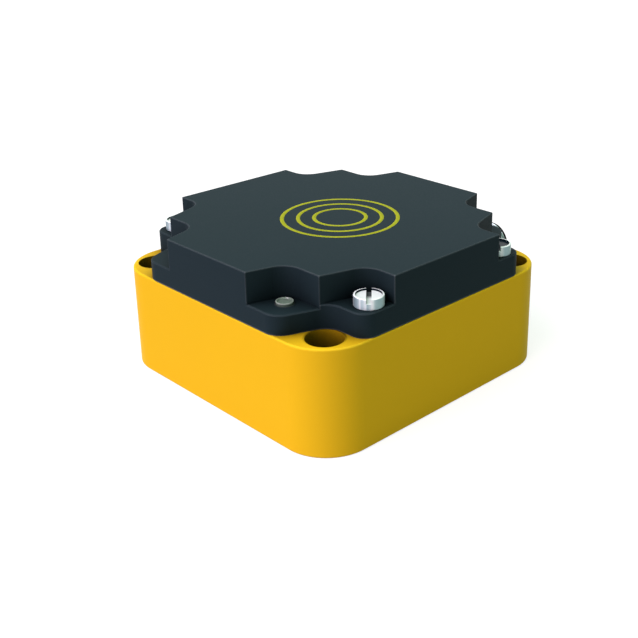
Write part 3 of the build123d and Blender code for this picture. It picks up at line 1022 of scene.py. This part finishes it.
def cut_away(mesh: bmesh.types.BMesh, size_mm: Point, place: Matrix) -> bmesh.types.BMesh:
    """Mill a box out of a mesh.

    Args:
        mesh: The closed mesh, which is freed here.
        size_mm: The box's sizes.
        place: Where the box's centre lies and how it is turned.

    Returns:
        The milled mesh.
    """
    cutter = bmesh.new()
    size = Matrix.Diagonal(Vector(size_mm) * MM).to_4x4()
    bmesh.ops.create_cube(cutter, size=1.0, matrix=place @ size)
    blanks = []
    for name, form in (("blank", mesh), ("cutter", cutter)):
        bmesh.ops.recalc_face_normals(form, faces=form.faces)
        data = bpy.data.meshes.new(name)
        form.to_mesh(data)
        form.free()
        blank = bpy.data.objects.new(name, data)
        bpy.context.scene.collection.objects.link(blank)
        blanks.append(blank)
    milling = blanks[0].modifiers.new("milling", "BOOLEAN")
    milling.operation = "DIFFERENCE"
    milling.solver = "EXACT"
    milling.object = blanks[1]
    milled = bmesh.new()
    milled.from_object(blanks[0], bpy.context.evaluated_depsgraph_get())
    for blank in blanks:
        data = blank.data
        bpy.data.objects.remove(blank)
        bpy.data.meshes.remove(data)
    return milled


@dataclass
class SensingHead:
    """The dark head with its printed rings."""

    ring_centre_mm: tuple[float, float] = (2.83, 0.1)
    ring_radii_mm: tuple[float, ...] = (15.21, 11.15, 7.09)
    ring_width_mm: float = 1.0
    ink_mm: float = 0.012
    ink_edge_mm: float = 0.02
    ink_foot_mm: float = -0.002
    steps: int = 160

    def printed_ring(self, number: int, outer_mm: float, top_mm: float) -> None:
        """Lay one printed ring on the sensing face.

        Args:
            number: The ring's place, counted from the outside.
            outer_mm: Its outer radius.
            top_mm: Height of the sensing face.
        """
        inner_mm = outer_mm - self.ring_width_mm
        stations = [
            (self.ink_foot_mm, outer_mm),
            (self.ink_mm, outer_mm - self.ink_edge_mm),
            (self.ink_mm, inner_mm + self.ink_edge_mm),
            (self.ink_foot_mm, inner_mm),
        ]
        mesh = bmesh.new()
        turned(mesh, stations, self.steps, (*self.ring_centre_mm, top_mm))
        piece_from(f"printed_ring_{number}", mesh, RING_INK)

    def build(self, frame: dict[str, Any]) -> None:
        """Dress the head and print its rings.

        Args:
            frame: The loaded frame.
        """
        dress("sensor_head", BLACK_MOULDING, frame)
        top_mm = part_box("sensor_head")[1].z / MM
        for number, radius_mm in enumerate(self.ring_radii_mm, start=1):
            self.printed_ring(number, radius_mm, top_mm)


@dataclass
class HeadFasteners:
    """The four slotted screws with their dished heads, and the inserts that they bite into."""

    slot_angles_deg: tuple[float, ...] = (135.0, 134.0, 118.0, 138.0)
    # Number of the screw whose crown is painted in shade.
    shaded: int = 2
    head_radius_mm: float = 3.5
    head_mm: float = 2.6
    foot_mm: float = 0.1
    head_round_mm: float = 0.25
    round_steps: int = 5
    dish_radius_mm: float = 2.98
    dish_mm: float = 0.45
    dish_wall_mm: float = 0.07
    slot_mm: float = 1.2
    slot_depth_mm: float = 1.1
    cutter_length_mm: float = 10.5
    shank_radius_mm: float = 2.0
    shank_mm: float = 14.0
    point_mm: float = 0.5
    plain_mm: float = 3.0
    pitch_mm: float = 0.7
    thread_depth_mm: float = 0.4
    steps: int = 64
    rows_per_pitch: int = 6

    def thread(self, turn: float, height_mm: float) -> float:
        """Give the radius of the screw's thread.

        Args:
            turn: Angle round the axis in radians.
            height_mm: Height above the seat, below zero on the shank.

        Returns:
            The radius in millimetres.
        """
        phase = (height_mm / self.pitch_mm - turn / math.tau) % 1.0
        return self.shank_radius_mm - self.thread_depth_mm * abs(2.0 * phase - 1.0)

    def stations(self) -> list[Station]:
        """List the screw's rings from its tip to the floor of its dish.

        Returns:
            The stations, with the seat under the head at a height of 0.
        """
        low, high = self.point_mm - self.shank_mm, -self.plain_mm
        tip_radius = self.shank_radius_mm - self.thread_depth_mm - self.point_mm / 2
        rings: list[Station] = [(-self.shank_mm, tip_radius)]
        rows = round((high - low) / self.pitch_mm * self.rows_per_pitch)
        for row in range(rows + 1):
            height = low + (high - low) * row / rows
            rings.append((height, lambda turn, height=height: self.thread(turn, height)))
        rings += [
            (high + self.foot_mm, self.shank_radius_mm),
            (0.0, self.shank_radius_mm),
            (0.0, self.head_radius_mm - self.foot_mm),
            (self.foot_mm, self.head_radius_mm),
        ]
        for step in range(self.round_steps + 1):
            turn = math.pi / 2 * step / self.round_steps
            height = self.head_mm - self.head_round_mm * (1.0 - math.sin(turn))
            radius = self.head_radius_mm - self.head_round_mm * (1.0 - math.cos(turn))
            rings.append((height, radius))
        rings += [
            (self.head_mm, self.dish_radius_mm + self.dish_wall_mm),
            (self.head_mm - self.dish_mm, self.dish_radius_mm),
        ]
        return rings

    def screw(self, number: int, seat_mm: Point, finish: Finish) -> None:
        """Turn, thread and slot one screw in place of the plain one.

        Args:
            number: The screw's number.
            seat_mm: The middle of the seat under its head.
            finish: What it is made of.
        """
        mesh = bmesh.new()
        rings = turned(mesh, self.stations(), self.steps, seat_mm)
        mesh.faces.new(list(reversed(rings[0])))
        mesh.faces.new(rings[-1])
        cutter_mm = (self.cutter_length_mm, self.slot_mm, 2.0 * self.slot_depth_mm)
        top_mm = Vector(seat_mm) + Vector((0.0, 0.0, self.head_mm))
        turn = math.radians(self.slot_angles_deg[number - 1])
        place = Matrix.Translation(top_mm * MM) @ Matrix.Rotation(turn, 4, "Z")
        milled = cut_away(mesh, cutter_mm, place)
        piece = piece_from(f"slotted_screw_{number}", milled, finish)
        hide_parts(f"head_screw_{number}")

    def build(self, frame: dict[str, Any]) -> None:
        """Make each screw and dress its insert round its own axis.

        Args:
            frame: The loaded frame.
        """
        for number in range(1, len(self.slot_angles_deg) + 1):
            low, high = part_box(f"head_screw_{number}")
            centre = ((low.x + high.x) / 2, (low.y + high.y) / 2, 0.0)
            top_mm = high.z / MM
            plating = replace(
                SCREW_PLATING,
                # One crown takes painted shade, the others the near-white stand-in for their
                # reflection.
                colour=SHADED_NICKEL if number == self.shaded else SCREW_NICKEL,
                centre=centre,
                dish_mm=self.dish_radius_mm + self.dish_wall_mm,
                slot_level_mm=top_mm - (self.dish_mm + self.slot_depth_mm) / 2,
                # The painted shade on the slot floor runs towards the head.
                inward=tuple(-Vector(centre).normalized()),
            )
            seat_mm = (centre[0] / MM, centre[1] / MM, top_mm - self.head_mm)
            self.screw(number, seat_mm, plating)
            dress(f"threaded_insert_{number}", replace(INSERT_BRASS, centre=centre), frame)


@dataclass
class StatusLamp:
    """The light guide in its pocket and the diode under it."""

    def build(self, frame: dict[str, Any]) -> None:
        """Dress lens and diode.

        Args:
            frame: The loaded frame.
        """
        dress("status_lens", LAMP_LENS, frame)
        dress("status_led", LED_BODY, frame)


@dataclass
class PlugConnector:
    """The round connector on the back: shell with its plug thread, seal, nut and contacts."""

    height_mm: float = 14.9
    wall_face_mm: float = 40.0
    contacts: int = 4
    stem_radius_mm: float = 8.0
    stem_length_mm: float = 10.5
    stem_bevel_mm: float = 0.6
    seal_mm: float = 1.2
    hexagon_flats_mm: float = 20.0
    hexagon_mm: float = 6.0
    hexagon_edge_mm: float = 0.25
    bevel_slope: float = math.sqrt(3.0)
    bevel_steps_mm: tuple[float, ...] = (0.0, 0.1, 0.2, 0.35, 0.5, 0.7, 0.9, 1.1)
    collar_radius_mm: float = 7.0
    collar_mm: float = 7.5
    collar_foot_mm: float = 0.3
    collar_bevel_mm: float = 0.4
    collar_groove_mm: float = 0.5
    thread_radius_mm: float = 6.0
    thread_depth_mm: float = 0.6
    thread_pitch_mm: float = 1.0
    thread_slope: float = 3.2
    thread_crest: float = 0.2
    thread_start: float = 0.5
    thread_mm: float = 12.0
    relief_mm: float = 1.2
    mouth_bevel_mm: float = 0.5
    dark_mouth_mm: float = 1.0
    bore_radius_mm: float = 4.4
    bore_bevel_mm: float = 0.3
    smooth_deg: float = 28.0
    steps: int = 144
    rows_per_pitch: int = 10

    def hexagon(self, turn: float, inset_mm: float) -> float:
        """Give the radius of the bevelled hexagon.

        Args:
            turn: Angle round the axis in radians.
            inset_mm: Distance from the hexagon's nearer end.

        Returns:
            The radius in millimetres: the flats, or the bevel cone where that is smaller.
        """
        sixth = math.tau / 6
        flat = self.hexagon_flats_mm / 2 / math.cos((turn + sixth / 2) % sixth - sixth / 2)
        cone = self.hexagon_flats_mm / 2 - self.hexagon_edge_mm + inset_mm * self.bevel_slope
        return min(flat, cone)

    def thread(self, turn: float, along_mm: float) -> float:
        """Give the radius of the plug thread.

        Args:
            turn: Angle round the axis in radians.
            along_mm: Distance from the thread's first end.

        Returns:
            The radius in millimetres, with crest, flanks and root, run out at both ends.
        """
        phase = (along_mm / self.thread_pitch_mm - turn / math.tau) % 1.0
        flank = min(1.0, max(0.0, self.thread_slope * abs(phase - 0.5) - self.thread_crest))
        lead_in = min(1.0, (self.thread_mm - along_mm) / self.thread_pitch_mm)
        run_out = min(1.0, max(0.0, along_mm - self.relief_mm) / self.thread_pitch_mm)
        share = min(lead_in + self.thread_start, 1.0) * run_out
        root = self.thread_radius_mm - self.thread_depth_mm
        bevel = self.thread_radius_mm - self.mouth_bevel_mm + (self.thread_mm - along_mm)
        return min(root + self.thread_depth_mm * (1.0 - flank) * share, bevel)

    def stations(self) -> list[Station]:
        """List the shell's rings from the inner end to the mouth and back through the bore.

        Returns:
            The stations, with the sensing axis at a place of 0.
        """
        inner = self.wall_face_mm - self.stem_length_mm
        hexagon = self.wall_face_mm + self.seal_mm
        collar = hexagon + self.hexagon_mm
        thread = collar + self.collar_mm
        mouth = thread + self.thread_mm
        rings: list[Station] = [
            (inner, self.stem_radius_mm - self.stem_bevel_mm),
            (inner + self.stem_bevel_mm, self.stem_radius_mm),
            (hexagon, self.stem_radius_mm),
        ]
        for inset in (*self.bevel_steps_mm, self.hexagon_mm / 2):
            rings.append((hexagon + inset, lambda turn, inset=inset: self.hexagon(turn, inset)))
        for inset in reversed(self.bevel_steps_mm):
            rings.append((collar - inset, lambda turn, inset=inset: self.hexagon(turn, inset)))
        middle = collar + self.collar_mm / 2
        groove = self.collar_groove_mm
        rings += [
            (collar, self.collar_radius_mm - self.collar_foot_mm),
            (collar + self.collar_foot_mm, self.collar_radius_mm),
            (middle - 2 * groove, self.collar_radius_mm),
            (middle - groove, self.collar_radius_mm - groove),
            (middle + groove, self.collar_radius_mm - groove),
            (middle + 2 * groove, self.collar_radius_mm),
            (thread - self.collar_bevel_mm, self.collar_radius_mm),
            (thread, self.collar_radius_mm - self.collar_bevel_mm),
            (thread, self.thread_radius_mm - self.thread_depth_mm),
        ]
        rows = round(self.thread_mm / self.thread_pitch_mm * self.rows_per_pitch)
        for row in range(1, rows + 1):
            along = self.thread_mm * row / rows
            rings.append((thread + along, lambda turn, along=along: self.thread(turn, along)))
        rings += [
            (mouth, self.bore_radius_mm + self.bore_bevel_mm),
            (mouth - self.bore_bevel_mm, self.bore_radius_mm),
            (inner, self.bore_radius_mm),
        ]
        return rings

    def shell(self, finish: Finish) -> None:
        """Turn the shell, with its hexagon, in place of the plain one.

        Args:
            finish: What it is made of.
        """
        mesh = bmesh.new()
        middle = (0.0, 0.0, self.height_mm)
        turned(mesh, self.stations(), self.steps, middle, Axis.BACK, looped=True)
        piece = piece_from("plug_shell", mesh, finish, self.smooth_deg)
        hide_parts("connector_shell")

    def build(self, frame: dict[str, Any]) -> None:
        """Make the shell and dress the connector's other pieces round their axis.

        Args:
            frame: The loaded frame.
        """
        centre = (0.0, 0.0, self.height_mm * MM)
        plating = replace(CONNECTOR_PLATING, centre=centre)
        nut_end_mm = self.wall_face_mm + self.seal_mm + self.hexagon_mm
        mouth_mm = nut_end_mm + self.collar_mm + self.thread_mm - self.dark_mouth_mm
        self.shell(replace(plating, name="plug_plating", mouth_mm=mouth_mm, mouth_shade=1.0))
        dress("connector_locknut", plating, frame)
        dress("connector_seal", SEAL_RUBBER, frame)
        dress("contact_carrier", BLACK_INSULATOR, frame)
        for number in range(1, self.contacts + 1):
            dress(f"connector_pin_{number}", replace(CONTACT_GILDING, centre=centre), frame)


@dataclass
class TerminalBase:
    """The yellow base with its wiring inside."""

    poles: int = 4
    block_screws: int = 2
    inner: dict[str, Finish] = field(
        default_factory=lambda: {
            "head_gasket": SEAL_RUBBER,
            "terminal_block": GREY_INSULATOR,
            "ferrite_core": FERRITE,
            "coil_bobbin": GREY_INSULATOR,
            "coil_winding": COPPER,
            "circuit_board": BOARD,
            "board_components": CHIP,
            "potting": RESIN,
        }
    )
    metals: dict[str, Colour] = field(
        default_factory=lambda: {
            "contact_pin": GOLD,
            "contact_socket": GOLD,
            "terminal_clamp": BRASS,
            "terminal_screw": NICKEL,
        }
    )

    def build(self, frame: dict[str, Any]) -> None:
        """Dress the base and all that is sealed inside.

        Args:
            frame: The loaded frame.
        """
        dress("terminal_base", YELLOW_MOULDING, frame)
        for name, finish in self.inner.items():
            dress(name, finish, frame)
        for number in range(1, self.poles + 1):
            for stem, colour in self.metals.items():
                plating = replace(INNER_METAL, name=f"{stem}_plating", colour=colour)
                dress(f"{stem}_{number}", plating, frame)
            dress(f"lead_wire_{number}", LEAD_SHEATH, frame)
        for number in range(1, self.block_screws + 1):
            plating = replace(INNER_METAL, name="block_screw_plating")
            dress(f"block_screw_{number}", plating, frame)


@dataclass
class Studio:
    """Camera, floor and light."""

    eye_mm: Point = (181.27, -165.04, 123.06)
    azimuth_deg: float = 44.757
    elevation_deg: float = 19.878
    roll_deg: float = -0.177
    focal_px: float = 1010.896
    frame_px: float = 638.0
    principal_px: tuple[float, float] = (381.101, 232.713)
    sensor_mm: float = 36.0
    nearest: float = 0.01
    farthest: float = 50.0
    floor_size: float = 6.0
    world_level: float = 0.095
    world_colour: Colour = (0.973, 1.0, 0.974)
    key_level: float = 1.042
    key_colour: Colour = (1.0, 0.864, 0.98)
    key_from: Point = (-0.15, -0.76, 0.63)
    key_spread_deg: float = 60.0
    top_level: float = 0.658
    top_colour: Colour = (0.888, 1.0, 0.905)
    top_from: Point = (0.0, 0.0, 1.0)
    top_spread_deg: float = 120.0
    paper: float = 0.35
    paper_glow: float = 0.75

    def camera(self) -> None:
        """Place the camera where the photograph was taken from."""
        azimuth, elevation = math.radians(self.azimuth_deg), math.radians(self.elevation_deg)
        level = math.cos(elevation)
        back = Vector(
            (math.sin(azimuth) * level, -math.cos(azimuth) * level, math.sin(elevation))
        )
        right = Vector((0, 0, 1)).cross(back).normalized()
        up = back.cross(right)
        roll = math.radians(self.roll_deg)
        across = right * math.cos(roll) + up * math.sin(roll)
        upright = up * math.cos(roll) - right * math.sin(roll)
        turn = Matrix((across, upright, back)).transposed().to_4x4()
        data = bpy.data.cameras.new("camera")
        data.sensor_width = self.sensor_mm
        data.lens = self.focal_px * self.sensor_mm / self.frame_px
        data.shift_x = (self.frame_px / 2 - self.principal_px[0]) / self.frame_px
        data.shift_y = (self.principal_px[1] - self.frame_px / 2) / self.frame_px
        data.clip_start = self.nearest
        data.clip_end = self.farthest
        camera = bpy.data.objects.new("camera", data)
        camera.matrix_world = Matrix.Translation(Vector(self.eye_mm) * MM) @ turn
        bpy.context.scene.collection.objects.link(camera)
        bpy.context.scene.camera = camera

    def lamp(
        self, name: str, towards: Point, level: float, spread_deg: float, colour: Colour
    ) -> None:
        """Hang one soft lamp so far away that it lights object and floor evenly.

        Args:
            name: The lamp's name.
            towards: Where it hangs, as a direction from the object.
            level: How bright it renders a white face that looks straight at it.
            spread_deg: How wide it is seen from the object, which softens the shadows.
            colour: Its display colour.
        """
        data = bpy.data.lights.new(name, "SUN")
        data.energy = level * math.pi
        data.angle = math.radians(spread_deg)
        data.color = linear(colour)[:3]
        lamp = bpy.data.objects.new(name, data)
        lamp.rotation_mode = "QUATERNION"
        lamp.rotation_quaternion = Vector(towards).normalized().to_track_quat("Z", "Y")
        bpy.context.scene.collection.objects.link(lamp)

    @staticmethod
    def seen_directly(graph: Graph) -> bpy.types.NodeSocket:
        """Mask what the camera sees itself, in a mirror or through glass.

        Args:
            graph: The graph that takes the mask.

        Returns:
            The mask's socket, 1 where it is seen.
        """
        path = graph.add("ShaderNodeLightPath").outputs
        seen = graph.maths("MAXIMUM", path["Is Camera Ray"], path["Is Glossy Ray"])
        return graph.maths("MAXIMUM", seen, path["Is Transmission Ray"])

    def world(self) -> None:
        """Set a faint even sky that the camera and reflections see as white."""
        world = bpy.data.worlds.new("studio")
        world.use_nodes = True
        world.node_tree.nodes.clear()
        graph = Graph(world.node_tree)
        colour = linear(self.world_colour)
        sky = graph.add("ShaderNodeBackground", Color=colour, Strength=self.world_level)
        white = graph.add("ShaderNodeBackground", Color=WHITE, Strength=1.0)
        both = graph.add("ShaderNodeMixShader")
        graph.feed(both, 0, self.seen_directly(graph))
        graph.feed(both, 1, sky.outputs[0])
        graph.feed(both, 2, white.outputs[0])
        graph.add("ShaderNodeOutputWorld", Surface=both.outputs[0])
        bpy.context.scene.world = world

    def floor(self) -> None:
        """Lay a plain white floor that keeps the object's shadow."""
        mesh = bmesh.new()
        half = self.floor_size / 2
        rim = [(-half, -half), (half, -half), (half, half), (-half, half)]
        mesh.faces.new([mesh.verts.new((x, y, 0.0)) for x, y in rim])
        data = bpy.data.meshes.new("floor")
        mesh.to_mesh(data)
        mesh.free()
        floor = bpy.data.objects.new("floor", data)
        bpy.context.scene.collection.objects.link(floor)
        material = bpy.data.materials.new("floor")
        material.use_nodes = True
        material.node_tree.nodes.clear()
        graph = Graph(material.node_tree)
        glowing = graph.maths("MULTIPLY", self.seen_directly(graph), self.paper_glow)
        paper = graph.add("ShaderNodeBsdfDiffuse", Color=(*[self.paper] * 3, 1.0))
        glow = graph.add("ShaderNodeEmission", Color=WHITE, Strength=glowing)
        both = graph.add("ShaderNodeAddShader")
        graph.feed(both, 0, paper.outputs[0])
        graph.feed(both, 1, glow.outputs[0])
        graph.add("ShaderNodeOutputMaterial", Surface=both.outputs[0])
        data.materials.append(material)

    def build(self) -> None:
        """Set up camera, light and floor."""
        self.camera()
        self.world()
        self.floor()
        self.lamp("key_lamp", self.key_from, self.key_level, self.key_spread_deg, self.key_colour)
        self.lamp("top_lamp", self.top_from, self.top_level, self.top_spread_deg, self.top_colour)
        bpy.context.scene.view_settings.view_transform = "Standard"


def main() -> None:
    """Build the sensor's looks in order."""
    logging.basicConfig(level=logging.INFO, format="%(message)s")
    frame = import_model()
    Studio().build()
    TerminalBase().build(frame)
    SensingHead().build(frame)
    HeadFasteners().build(frame)
    StatusLamp().build(frame)
    PlugConnector().build(frame)


if __name__ == "__main__":
    main()
